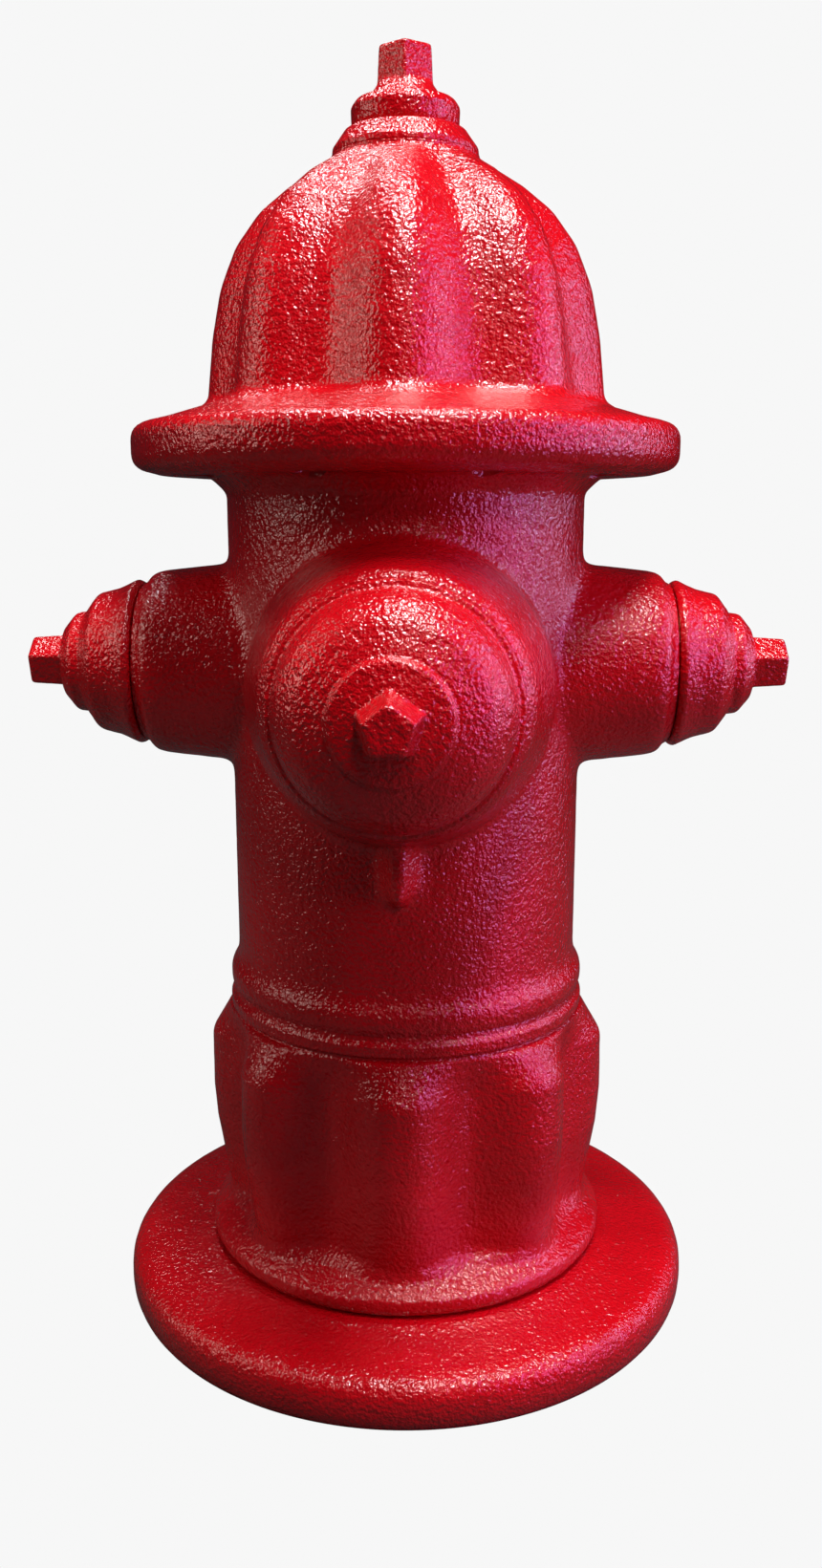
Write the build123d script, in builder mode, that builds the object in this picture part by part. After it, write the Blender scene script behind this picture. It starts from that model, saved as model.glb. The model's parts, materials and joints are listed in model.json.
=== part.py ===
"""Dry-barrel fire hydrant with two hose nozzles and one pumper nozzle, as separate pieces.

Millimetres. The origin is on the hydrant's axis at the ground face, +Z up. The pumper nozzle points
along -Y and the hose nozzles along +X and -X. Threads are plain cylinders with running clearance.
"""
import os
from math import cos, radians, sin

from build123d import *

os.makedirs("parts", exist_ok=True)

# ---- heights of the castings and of the joint lines between them
FLANGE_RIM_H = 33.0          # top of the ground flange's round rim
FLANGE_TOP_Z = 40.0          # land that the foot ring stands on
FOOT_Z = 41.5                # underside of the foot ring, above its gasket
SKIRT_BASE_Z = 60.0          # where the eight ridges start
SKIRT_TOP_Z = 204.0          # where the ridges have died into the neck
PARTING_Z = 220.0            # breakaway joint line between the two beads
BARREL_TOP_Z = 577.0         # top face of the upper barrel's flange
BONNET_SEAT_Z = 578.5        # bonnet's seat, above its gasket
NECK_Z = 749.0               # top of the bonnet casting
COLLAR_Z = 764.0             # underside of the operating nut's rain collar
TOP_Z = 813.0                # top of the operating nut
HOSE_Z = 436.5               # hose nozzle axes
PUMPER_Z = 429.0             # pumper nozzle axis

# ---- radii of the castings
FLANGE_R = 194.5
FOOT_R = 137.0
LOWER_BEAD_R = 120.2
UPPER_BEAD_R = 119.3
BARREL_R = 114.9
BARREL_BORE_R = 98.0
TOP_FLANGE_R = 147.8
BRIM_R = 173.8
INLET_R = 76.2               # six-inch inlet
CHAMBER_R = 84.0             # valve chamber above the inlet

# ---- ridges and flutes
RIDGES = 8
STEP = 360.0 / RIDGES
FLUTE_DIP = 4.5              # how far a flute's middle lies inside the flat between two ridges
RIDGE_NOSE_R = 9.0

# ---- fasteners
BOLTS = 8
BONNET_BOLT_CIRCLE_R = 133.5
BASE_BOLT_CIRCLE_R = 104.0
BOLT_R = 6.0
BOLT_HOLE_R = 6.6
BOLT_HEAD_FLATS = 16.0
BOLT_HEAD_H = 8.0
COUNTERBORE_R = 10.5
COUNTERBORE_DEPTH = 10.0

# ---- nozzles, measured out from the hydrant's axis
NOZZLE_TIP = 249.5           # end of every cap nut
HOSE_BOSS_END = 169.0
HOSE_THREAD_R = 38.95        # two-and-a-half-inch hose thread, 77.9 mm over its crests
HOSE_THREAD_END = 198.0
HOSE_WATERWAY_R = 31.75
HOSE_CAP_START = 173.0
PUMPER_BOSS_END = 165.0
PUMPER_THREAD_R = 63.6       # four-inch pumper thread, 127.2 mm over its crests
PUMPER_THREAD_END = 189.0
PUMPER_WATERWAY_R = 50.8
PUMPER_CAP_START = 170.0
NUT_CORNER_R = 17.55         # pentagon, 31.75 mm from a point to the opposite flat
NUT_START = 225.5
NUT_TAPER = 2.0              # degrees on each face

# ---- stem and main valve
STEM_R = 14.0
STEM_END_R = 12.7
STEM_TIP_Z = 43.5
STEM_SHOULDER_Z = 112.0
STEM_JOINT_Z = 226.0
STEM_TOP_Z = 715.0
SEAT_Z = 92.0                # seating face of the seat ring
SEAT_BORE_R = 57.0           # four-and-a-half-inch main valve opening
SEAT_THREAD_R = 72.0
DRAIN_Z = 112.0
VALVE_R = 66.0
FIT = 0.05                   # clearance of pieces that are fitted together
FREE = 0.3                   # clearance of pieces that move past each other

HOSE_RIGHT = Plane(origin=(0, 0, HOSE_Z), x_dir=(1, 0, 0), z_dir=(0, -1, 0))
HOSE_LEFT = Plane(origin=(0, 0, HOSE_Z), x_dir=(-1, 0, 0), z_dir=(0, 1, 0))
PUMPER = Plane(origin=(0, 0, PUMPER_Z), x_dir=(0, -1, 0), z_dir=(-1, 0, 0))


def polar(radius, angle):
    """Point at a radius and an angle in degrees."""
    return (radius * cos(radians(angle)), radius * sin(radians(angle)))


def axis_of(plane):
    """Axis through a nozzle plane's origin, pointing out of the nozzle."""
    return Axis(plane.origin, plane.x_dir)


def fluted_section(height, ridge_r, dip, nose_r):
    """Outline at one height: eight rounded ridges with shallow concave flutes between them."""
    flute_r = ridge_r * cos(radians(STEP / 2)) - dip
    with BuildSketch(Plane.XY.offset(height)) as section:
        with BuildLine():
            for k in range(RIDGES):
                ThreePointArc(
                    polar(ridge_r, k * STEP),
                    polar(flute_r, (k + 0.5) * STEP),
                    polar(ridge_r, (k + 1) * STEP),
                )
        make_face()
        fillet(section.vertices(), nose_r)
    return section.sketch


def turned(plane, outline, rounds=()):
    """Solid turned from (distance, radius) points about a nozzle plane's x axis.

    rounds lists (index of a point, radius) for the corners that are rounded.
    """
    with BuildPart() as solid:
        with BuildSketch(plane) as profile:
            with BuildLine():
                Polyline(*outline, close=True)
            make_face()
            for index, radius in rounds:
                corner = profile.vertices().sort_by_distance(Vector(*outline[index]))[0]
                fillet(corner, radius)
        revolve(axis=axis_of(plane))
    return solid.part


def pentagon_nut(plane, start, end):
    """Tapered five-sided wrench nut along a nozzle plane's x axis, with one point upward."""
    face = Plane(origin=plane.from_local_coords((start, 0)), x_dir=(0, 0, 1), z_dir=plane.x_dir)
    with BuildPart() as nut:
        with BuildSketch(face):
            RegularPolygon(NUT_CORNER_R, 5)
        extrude(amount=end - start, taper=NUT_TAPER)
        fillet(nut.faces().sort_by(axis_of(plane))[-1].edges(), 1.5)
    return nut.part


def ring(name, inner_r, outer_r, bottom, top):
    """Flat ring about the hydrant's axis."""
    with BuildPart() as flat:
        with BuildSketch(Plane.XY.offset(bottom)):
            Circle(outer_r)
            Circle(inner_r, mode=Mode.SUBTRACT)
        extrude(amount=top - bottom)
    flat.part.label = name
    return flat.part


def save(part, name):
    """Label a finished piece and write its file."""
    part.label = name
    export_step(part, f"parts/{name}.step")


# ---------------------------------------------------------------- ground flange and its fasteners
with BuildPart() as base_flange:
    with BuildSketch(Plane.XZ):
        with BuildLine():
            rim = FLANGE_RIM_H / 2
            Line((INLET_R, 0), (FLANGE_R - rim, 0))
            ThreePointArc((FLANGE_R - rim, 0), (FLANGE_R, rim), (FLANGE_R - rim, FLANGE_RIM_H))
            Line((FLANGE_R - rim, FLANGE_RIM_H), (FOOT_R + 4, FLANGE_TOP_Z))
            Line((FOOT_R + 4, FLANGE_TOP_Z), (INLET_R, FLANGE_TOP_Z))
            Line((INLET_R, FLANGE_TOP_Z), (INLET_R, 0))
        make_face()
    revolve(axis=Axis.Z)
    with Locations(Plane.XY.rotated((180, 0, 0))):
        with PolarLocations(BASE_BOLT_CIRCLE_R, BOLTS, start_angle=STEP / 2):
            CounterBoreHole(BOLT_HOLE_R, COUNTERBORE_R, COUNTERBORE_DEPTH)
save(base_flange.part, "base_flange")

with BuildPart() as base_gasket:
    with BuildSketch(Plane.XY.offset(FLANGE_TOP_Z)):
        Circle(FOOT_R - 9)
        Circle(CHAMBER_R, mode=Mode.SUBTRACT)
        with PolarLocations(BASE_BOLT_CIRCLE_R, BOLTS, start_angle=STEP / 2):
            Circle(BOLT_HOLE_R, mode=Mode.SUBTRACT)
    extrude(amount=FOOT_Z - FLANGE_TOP_Z)
save(base_gasket.part, "base_gasket")


def hex_bolts(circle_r, head_bottom, head_top, shank_top):
    """Ring of upright hex bolts with their heads down."""
    with BuildPart() as bolts:
        with BuildSketch(Plane.XY.offset(head_bottom)):
            with PolarLocations(circle_r, BOLTS, start_angle=STEP / 2):
                RegularPolygon(BOLT_HEAD_FLATS / 2, 6, major_radius=False)
        extrude(amount=head_top - head_bottom)
        with BuildSketch(Plane.XY.offset(head_top)):
            with PolarLocations(circle_r, BOLTS, start_angle=STEP / 2):
                Circle(BOLT_R)
        extrude(amount=shank_top - head_top)
    return bolts.part


BASE_BOLT_TOP = FOOT_Z + 16
save(hex_bolts(BASE_BOLT_CIRCLE_R, COUNTERBORE_DEPTH - BOLT_HEAD_H, COUNTERBORE_DEPTH,
               BASE_BOLT_TOP), "base_bolts")

# ---------------------------------------------------------------- lower barrel: foot ring and skirt
SEAT_LEDGE_Z = (104.0, 124.0)
LOCK_GROOVE_R = BARREL_BORE_R + 2.5
LOCK_GROOVE_H = 8.0
LOCK_HALF_H = 22.0
skirt_sections = [
    fluted_section(SKIRT_BASE_Z, 124.0, FLUTE_DIP, RIDGE_NOSE_R),
    fluted_section(76.0, 127.0, FLUTE_DIP, RIDGE_NOSE_R),
    fluted_section(104.0, 133.0, FLUTE_DIP, RIDGE_NOSE_R),
    fluted_section(140.0, 136.0, FLUTE_DIP, RIDGE_NOSE_R),
    fluted_section(172.0, 136.2, FLUTE_DIP, RIDGE_NOSE_R),
    fluted_section(186.0, 131.5, 1.5, RIDGE_NOSE_R * 2),
    fluted_section(SKIRT_TOP_Z, 122.0, -4.0, RIDGE_NOSE_R * 4),
]
with BuildPart() as lower_barrel:
    loft(skirt_sections)
    with BuildSketch(Plane.XZ):
        with BuildLine():
            Line((0, FOOT_Z), (FOOT_R - 3, FOOT_Z))
            ThreePointArc((FOOT_R - 3, FOOT_Z), (FOOT_R, 47.5), (FOOT_R - 3, 54.0))
            Spline((FOOT_R - 3, 54.0), (126.0, 60.0), (116.0, 72.0))
            Line((116.0, 72.0), (0, 72.0))
            Line((0, 72.0), (0, FOOT_Z))
        make_face()
    revolve(axis=Axis.Z)
    with BuildSketch(Plane.XZ):
        with BuildLine():
            Line((0, 198.0), (118.0, 198.0))
            Line((118.0, 198.0), (117.0, 203.0))
            ThreePointArc((117.0, 203.0), (LOWER_BEAD_R, 210.5), (116.5, PARTING_Z - 1))
            Line((116.5, PARTING_Z - 1), (0, PARTING_Z - 1))
            Line((0, PARTING_Z - 1), (0, 198.0))
        make_face()
    revolve(axis=Axis.Z)
    with BuildSketch(Plane.XZ):
        with BuildLine():
            Polyline(
                (0, FOOT_Z), (CHAMBER_R, FOOT_Z), (CHAMBER_R, SEAT_LEDGE_Z[0] - 12),
                (SEAT_THREAD_R, SEAT_LEDGE_Z[0]), (SEAT_THREAD_R, SEAT_LEDGE_Z[1]),
                (CHAMBER_R, SEAT_LEDGE_Z[1]), (BARREL_BORE_R, 150.0),
                (BARREL_BORE_R, PARTING_Z - LOCK_HALF_H),
                (LOCK_GROOVE_R, PARTING_Z - LOCK_HALF_H),
                (LOCK_GROOVE_R, PARTING_Z - LOCK_HALF_H + LOCK_GROOVE_H),
                (BARREL_BORE_R, PARTING_Z - LOCK_HALF_H + LOCK_GROOVE_H),
                (BARREL_BORE_R, PARTING_Z), (0, PARTING_Z),
                close=True,
            )
        make_face()
    revolve(axis=Axis.Z, mode=Mode.SUBTRACT)
    with BuildSketch(Plane.XY.offset(FOOT_Z)):
        with PolarLocations(BASE_BOLT_CIRCLE_R, BOLTS, start_angle=STEP / 2):
            Circle(BOLT_R + FIT)
    extrude(amount=BASE_BOLT_TOP + 2 - FOOT_Z, mode=Mode.SUBTRACT)
    with BuildSketch(Plane(origin=(0, SEAT_THREAD_R - 2, DRAIN_Z), z_dir=(0, 1, 0))):
        Circle(8.0 + FIT)
    extrude(amount=80.0, mode=Mode.SUBTRACT)
save(lower_barrel.part, "lower_barrel")

with BuildPart() as drain_bushing:
    with BuildSketch(Plane(origin=(0, SEAT_THREAD_R + 0.5, DRAIN_Z), z_dir=(0, 1, 0))):
        Circle(8.0)
        Circle(5.0, mode=Mode.SUBTRACT)
    extrude(amount=58.0)
save(drain_bushing.part, "drain_bushing")

# ---------------------------------------------------------------- seat ring and main valve
SEAT_FLANGE_R = 82.0
SEAT_TOP_Z = 150.0
O_RING_R = 1.9
SEAT_O_RING_Z = (98.5, 119.5)
with BuildPart() as seat_ring:
    with BuildSketch(Plane.XZ):
        with BuildLine():
            Polyline(
                (SEAT_BORE_R, SEAT_Z), (SEAT_THREAD_R - FIT, SEAT_Z),
                (SEAT_THREAD_R - FIT, SEAT_LEDGE_Z[1] + FIT), (SEAT_FLANGE_R, SEAT_LEDGE_Z[1] + FIT),
                (SEAT_FLANGE_R, 134.0), (66.0, 136.0), (66.0, SEAT_TOP_Z), (SEAT_BORE_R, SEAT_TOP_Z),
                close=True,
            )
        make_face()
        for groove_z in SEAT_O_RING_Z:
            with Locations((SEAT_THREAD_R - 2, groove_z)):
                Rectangle(4.2, 4.2, mode=Mode.SUBTRACT)
        with Locations((SEAT_THREAD_R - 2, DRAIN_Z - 3)):
            Rectangle(4.2, 7.0, mode=Mode.SUBTRACT)
    revolve(axis=Axis.Z)
    with BuildSketch(Plane.XZ.offset(-SEAT_THREAD_R)):
        with Locations((0, DRAIN_Z - 3)):
            Circle(3.0)
    extrude(amount=2 * SEAT_THREAD_R, mode=Mode.SUBTRACT)
save(seat_ring.part, "seat_ring")

with BuildPart() as seat_ring_o_rings:
    for groove_z in SEAT_O_RING_Z:
        with Locations((0, 0, groove_z)):
            Torus(SEAT_THREAD_R - 2, O_RING_R)
save(seat_ring_o_rings.part, "seat_ring_o_rings")

UPPER_PLATE_R = 50.0
UPPER_PLATE_TOP = 101.7
WING_TOP_Z = 146.0
WING_W = 24.0
FACING_T = 2.0
RUBBER_TOP = SEAT_Z - FREE
RUBBER_BOTTOM = 74.0
LOWER_PLATE_BOTTOM = 58.0
NUT_BOTTOM = 47.0
with BuildPart() as upper_valve_plate:
    with BuildSketch(Plane.XY.offset(RUBBER_TOP)):
        Circle(UPPER_PLATE_R)
    extrude(amount=UPPER_PLATE_TOP - RUBBER_TOP)
    with BuildSketch(Plane.XY.offset(UPPER_PLATE_TOP)):
        Circle(24.0)
    extrude(amount=STEM_SHOULDER_Z - UPPER_PLATE_TOP)
    with BuildSketch(Plane.XY.offset(RUBBER_TOP)):
        Circle(SEAT_BORE_R - FREE - FACING_T)
        Circle(44.0, mode=Mode.SUBTRACT)
        Rectangle(WING_W, 3 * SEAT_BORE_R, mode=Mode.INTERSECT)
    extrude(amount=WING_TOP_Z - RUBBER_TOP)
    with BuildSketch(Plane.XY.offset(RUBBER_TOP)):
        Circle(STEM_END_R + FIT)
    extrude(amount=STEM_SHOULDER_Z - RUBBER_TOP, mode=Mode.SUBTRACT)
save(upper_valve_plate.part, "upper_valve_plate")

with BuildPart() as drain_facings:
    with BuildSketch(Plane.XY.offset(WING_TOP_Z - 28)):
        Circle(SEAT_BORE_R - FREE)
        Circle(SEAT_BORE_R - FREE - FACING_T + 0.02, mode=Mode.SUBTRACT)
        Rectangle(WING_W - 4, 3 * SEAT_BORE_R, mode=Mode.INTERSECT)
    extrude(amount=28)
save(drain_facings.part, "drain_facings")

with BuildPart() as main_valve:
    with BuildSketch(Plane.XY.offset(RUBBER_BOTTOM)):
        Circle(VALVE_R)
        Circle(STEM_END_R + FIT, mode=Mode.SUBTRACT)
    extrude(amount=RUBBER_TOP - RUBBER_BOTTOM)
    fillet(main_valve.faces().sort_by(Axis.Z)[-1].outer_wire().edges(), 3.0)
save(main_valve.part, "main_valve")

with BuildPart() as lower_valve_plate:
    with BuildSketch(Plane.XZ):
        with BuildLine():
            Polyline(
                (STEM_END_R + FIT, LOWER_PLATE_BOTTOM), (28.0, LOWER_PLATE_BOTTOM),
                (VALVE_R - 5, RUBBER_BOTTOM - 6), (VALVE_R - 5, RUBBER_BOTTOM),
                (STEM_END_R + FIT, RUBBER_BOTTOM),
                close=True,
            )
        make_face()
    revolve(axis=Axis.Z)
save(lower_valve_plate.part, "lower_valve_plate")

with BuildPart() as valve_stem_nut:
    with BuildSketch(Plane.XY.offset(NUT_BOTTOM)):
        RegularPolygon(20.0, 6, major_radius=False)
        Circle(STEM_END_R + FIT, mode=Mode.SUBTRACT)
    extrude(amount=LOWER_PLATE_BOTTOM - NUT_BOTTOM)
save(valve_stem_nut.part, "valve_stem_nut")

# ---------------------------------------------------------------- stem and its breakaway coupling
PIN_R = 3.5
PIN_OFFSETS = (-15.0, 15.0)
COUPLING_R = 21.0
COUPLING_HALF_H = 30.0
ALONG_X = (0, 90, 0)
with BuildPart() as lower_stem:
    with BuildSketch(Plane.XY.offset(STEM_TIP_Z)):
        Circle(STEM_END_R)
    extrude(amount=STEM_SHOULDER_Z - STEM_TIP_Z)
    with BuildSketch(Plane.XY.offset(STEM_SHOULDER_Z)):
        Circle(STEM_R)
    extrude(amount=STEM_JOINT_Z - 0.5 - STEM_SHOULDER_Z)
    with Locations((0, 0, STEM_JOINT_Z + PIN_OFFSETS[0])):
        Cylinder(PIN_R + FIT, 4 * COUPLING_R, rotation=ALONG_X, mode=Mode.SUBTRACT)
save(lower_stem.part, "lower_stem")

with BuildPart() as upper_stem:
    with BuildSketch(Plane.XY.offset(STEM_JOINT_Z)):
        Circle(STEM_R)
    extrude(amount=STEM_TOP_Z - STEM_JOINT_Z)
    chamfer(upper_stem.faces().sort_by(Axis.Z)[-1].edges(), 2.0)
    with Locations((0, 0, STEM_JOINT_Z + PIN_OFFSETS[1])):
        Cylinder(PIN_R + FIT, 4 * COUPLING_R, rotation=ALONG_X, mode=Mode.SUBTRACT)
save(upper_stem.part, "upper_stem")

with BuildPart() as stem_coupling:
    with BuildSketch(Plane.XZ):
        with BuildLine():
            waist = COUPLING_R - 3.5
            Polyline(
                (STEM_R + FIT, STEM_JOINT_Z - COUPLING_HALF_H), (COUPLING_R, STEM_JOINT_Z - COUPLING_HALF_H),
                (COUPLING_R, STEM_JOINT_Z - 5), (waist, STEM_JOINT_Z - 1.5), (waist, STEM_JOINT_Z + 1.5),
                (COUPLING_R, STEM_JOINT_Z + 5), (COUPLING_R, STEM_JOINT_Z + COUPLING_HALF_H),
                (STEM_R + FIT, STEM_JOINT_Z + COUPLING_HALF_H),
                close=True,
            )
        make_face()
    revolve(axis=Axis.Z)
    for offset_z in PIN_OFFSETS:
        with Locations((0, 0, STEM_JOINT_Z + offset_z)):
            Cylinder(PIN_R + FIT, 4 * COUPLING_R, rotation=ALONG_X, mode=Mode.SUBTRACT)
save(stem_coupling.part, "stem_coupling")

with BuildPart() as coupling_pins:
    for offset_z in PIN_OFFSETS:
        with Locations((0, 0, STEM_JOINT_Z + offset_z)):
            Cylinder(PIN_R, 2 * COUPLING_R + 3, rotation=ALONG_X)
save(coupling_pins.part, "coupling_pins")

# ---------------------------------------------------------------- breakaway joint of the barrels
save(ring("breakaway_gasket", BARREL_BORE_R + 1, 113.0, PARTING_Z - 1, PARTING_Z + 1), "breakaway_gasket")

with BuildPart() as breakaway_ring:
    with BuildSketch(Plane.XZ):
        with BuildLine():
            low, high = PARTING_Z - LOCK_HALF_H, PARTING_Z + LOCK_HALF_H
            lip = LOCK_GROOVE_R - 0.2
            wall = BARREL_BORE_R - 0.2
            Polyline(
                (91.0, low + 0.3), (lip, low + 0.3), (lip, low + LOCK_GROOVE_H - 0.3),
                (wall, low + LOCK_GROOVE_H - 0.3), (wall, PARTING_Z - 3), (wall - 3, PARTING_Z),
                (wall, PARTING_Z + 3), (wall, high - LOCK_GROOVE_H + 0.3),
                (lip, high - LOCK_GROOVE_H + 0.3), (lip, high - 0.3), (91.0, high - 0.3),
                close=True,
            )
        make_face()
    revolve(axis=Axis.Z)
save(breakaway_ring.part, "breakaway_ring")

# ---------------------------------------------------------------- upper barrel with nozzle bosses
FLANGE_UNDER_Z = 556.5
FLANGE_FILLET = 10.0
HOSE_INSERT_R = 45.0
PUMPER_INSERT_R = 67.0
RIB_W = 36.0                 # vee rib under the pumper boss, at its root inside the barrel wall
RIB_TAPER = 24.0
RIB_ROOT = BARREL_BORE_R + 4
RIB_BOTTOM_Z = 298.0
RIB_OUT = 133.0
with BuildPart() as upper_barrel:
    with BuildSketch(Plane.XZ):
        with BuildLine():
            Line((0, PARTING_Z + 1), (116.5, PARTING_Z + 1))
            ThreePointArc((116.5, PARTING_Z + 1), (UPPER_BEAD_R, 230.0), (115.8, 239.0))
            Line((115.8, 239.0), (BARREL_R, 246.0))
            Line((BARREL_R, 246.0), (BARREL_R, FLANGE_UNDER_Z - FLANGE_FILLET))
            RadiusArc((BARREL_R, FLANGE_UNDER_Z - FLANGE_FILLET),
                      (BARREL_R + FLANGE_FILLET, FLANGE_UNDER_Z), -FLANGE_FILLET)
            Line((BARREL_R + FLANGE_FILLET, FLANGE_UNDER_Z), (TOP_FLANGE_R, FLANGE_UNDER_Z))
            Line((TOP_FLANGE_R, FLANGE_UNDER_Z), (TOP_FLANGE_R, BARREL_TOP_Z))
            Line((TOP_FLANGE_R, BARREL_TOP_Z), (0, BARREL_TOP_Z))
            Line((0, BARREL_TOP_Z), (0, PARTING_Z + 1))
        make_face()
    revolve(axis=Axis.Z)
    for side in (HOSE_RIGHT, HOSE_LEFT):
        add(turned(side, [(60, 0), (60, 74), (100, 68), (164, 58.5), (HOSE_BOSS_END, 52.5),
                          (HOSE_BOSS_END, 0)], rounds=[(3, 6.0)]))
    add(turned(PUMPER, [(60, 0), (60, 96), (100, 95), (130, 85), (PUMPER_BOSS_END, 80.5),
                        (PUMPER_BOSS_END, 0)], rounds=[(4, 6.0), (3, 20.0)]))
    with BuildSketch(Plane.XZ.offset(RIB_ROOT)):
        with Locations((0, (RIB_BOTTOM_Z + PUMPER_Z) / 2)):
            SlotOverall(PUMPER_Z - RIB_BOTTOM_Z, RIB_W, rotation=90)
    extrude(amount=RIB_OUT - RIB_ROOT, taper=RIB_TAPER)
    with BuildSketch(Plane.XY.offset(PARTING_Z)):
        Circle(BARREL_BORE_R)
    extrude(amount=BARREL_TOP_Z - PARTING_Z, mode=Mode.SUBTRACT)
    with BuildSketch(Plane.XY.offset(PARTING_Z + LOCK_HALF_H - LOCK_GROOVE_H)):
        Circle(LOCK_GROOVE_R)
    extrude(amount=LOCK_GROOVE_H, mode=Mode.SUBTRACT)
    for side in (HOSE_RIGHT, HOSE_LEFT):
        add(turned(side, [(50, 0), (50, HOSE_INSERT_R), (200, HOSE_INSERT_R), (200, 0)]),
            mode=Mode.SUBTRACT)
    add(turned(PUMPER, [(40, 0), (40, PUMPER_INSERT_R), (200, PUMPER_INSERT_R), (200, 0)]),
        mode=Mode.SUBTRACT)
    with Locations(Plane.XY.offset(FLANGE_UNDER_Z).rotated((180, 0, 0))):
        with PolarLocations(BONNET_BOLT_CIRCLE_R, BOLTS, start_angle=STEP / 2):
            CounterBoreHole(BOLT_HOLE_R, COUNTERBORE_R, COUNTERBORE_DEPTH,
                            depth=BARREL_TOP_Z - FLANGE_UNDER_Z)
save(upper_barrel.part, "upper_barrel")

# ---------------------------------------------------------------- bonnet, its gasket and its bolts
BRIM_BOTTOM_Z = FLANGE_UNDER_Z + 0.5
HUB_R = 44.0
HUB_BOTTOM_Z = 700.0
THRUST_SEAT_Z = 716.0
HOLD_DOWN_Z = 734.2
HOLD_DOWN_R = 36.0
BONNET_BOLT_TOP = 589.0
dome_sections = [
    fluted_section(594.0, 131.0, 1.0, RIDGE_NOSE_R),
    fluted_section(612.0, 125.4, FLUTE_DIP, RIDGE_NOSE_R),
    fluted_section(641.0, 122.8, FLUTE_DIP, RIDGE_NOSE_R),
    fluted_section(672.0, 116.8, FLUTE_DIP, RIDGE_NOSE_R),
    fluted_section(697.0, 106.6, FLUTE_DIP, RIDGE_NOSE_R),
    fluted_section(717.0, 91.5, 4.0, RIDGE_NOSE_R * 0.8),
    fluted_section(733.0, 71.0, 2.5, RIDGE_NOSE_R * 0.6),
    fluted_section(745.0, 50.0, 0.5, RIDGE_NOSE_R * 0.4),
]
with BuildPart() as bonnet:
    loft(dome_sections)
    with BuildSketch(Plane.XZ):
        with BuildLine():
            Line((0, BRIM_BOTTOM_Z), (157.0, BRIM_BOTTOM_Z))
            ThreePointArc((157.0, BRIM_BOTTOM_Z), (BRIM_R, 573.5), (160.0, 589.0))
            Spline((160.0, 589.0), (146.0, 593.5), (129.0, 600.0))
            Line((129.0, 600.0), (0, 600.0))
            Line((0, 600.0), (0, BRIM_BOTTOM_Z))
        make_face()
    revolve(axis=Axis.Z)
    with BuildSketch(Plane.XY.offset(740.0)):
        Circle(46.0)
    extrude(amount=NECK_Z - 740.0)
    with BuildSketch(Plane.XY.offset(550.0)):
        Circle(TOP_FLANGE_R + FREE)
    extrude(amount=BONNET_SEAT_Z - 550.0, mode=Mode.SUBTRACT)
    with BuildSketch(Plane.XZ):
        with BuildLine():
            Line((0, BONNET_SEAT_Z), (100.0, BONNET_SEAT_Z))
            Line((100.0, BONNET_SEAT_Z), (100.0, 612.0))
            Spline((100.0, 612.0), (97.0, 650.0), (84.0, 690.0), (60.0, 719.0), (HUB_R, 728.0))
            Line((HUB_R, 728.0), (HUB_R, HUB_BOTTOM_Z))
            Line((HUB_R, HUB_BOTTOM_Z), (0, HUB_BOTTOM_Z))
            Line((0, HUB_BOTTOM_Z), (0, BONNET_SEAT_Z))
        make_face()
    revolve(axis=Axis.Z, mode=Mode.SUBTRACT)
    with BuildSketch(Plane.XZ):
        with BuildLine():
            Polyline(
                (0, HUB_BOTTOM_Z), (22.4, HUB_BOTTOM_Z), (22.4, THRUST_SEAT_Z), (31.0, THRUST_SEAT_Z),
                (31.0, HOLD_DOWN_Z), (HOLD_DOWN_R, HOLD_DOWN_Z), (HOLD_DOWN_R, NECK_Z), (0, NECK_Z),
                close=True,
            )
        make_face()
    revolve(axis=Axis.Z, mode=Mode.SUBTRACT)
    with BuildSketch(Plane.XY.offset(BONNET_SEAT_Z)):
        with PolarLocations(BONNET_BOLT_CIRCLE_R, BOLTS, start_angle=STEP / 2):
            Circle(BOLT_R + FIT)
    extrude(amount=BONNET_BOLT_TOP + 1 - BONNET_SEAT_Z, mode=Mode.SUBTRACT)
save(bonnet.part, "bonnet")

with BuildPart() as bonnet_gasket:
    with BuildSketch(Plane.XY.offset(BARREL_TOP_Z)):
        Circle(TOP_FLANGE_R - 1)
        Circle(BARREL_BORE_R + 2, mode=Mode.SUBTRACT)
        with PolarLocations(BONNET_BOLT_CIRCLE_R, BOLTS, start_angle=STEP / 2):
            Circle(BOLT_HOLE_R, mode=Mode.SUBTRACT)
    extrude(amount=BONNET_SEAT_Z - BARREL_TOP_Z)
save(bonnet_gasket.part, "bonnet_gasket")

BONNET_HEAD_TOP = FLANGE_UNDER_Z + COUNTERBORE_DEPTH
save(hex_bolts(BONNET_BOLT_CIRCLE_R, BONNET_HEAD_TOP - BOLT_HEAD_H, BONNET_HEAD_TOP,
               BONNET_BOLT_TOP), "bonnet_bolts")

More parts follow.
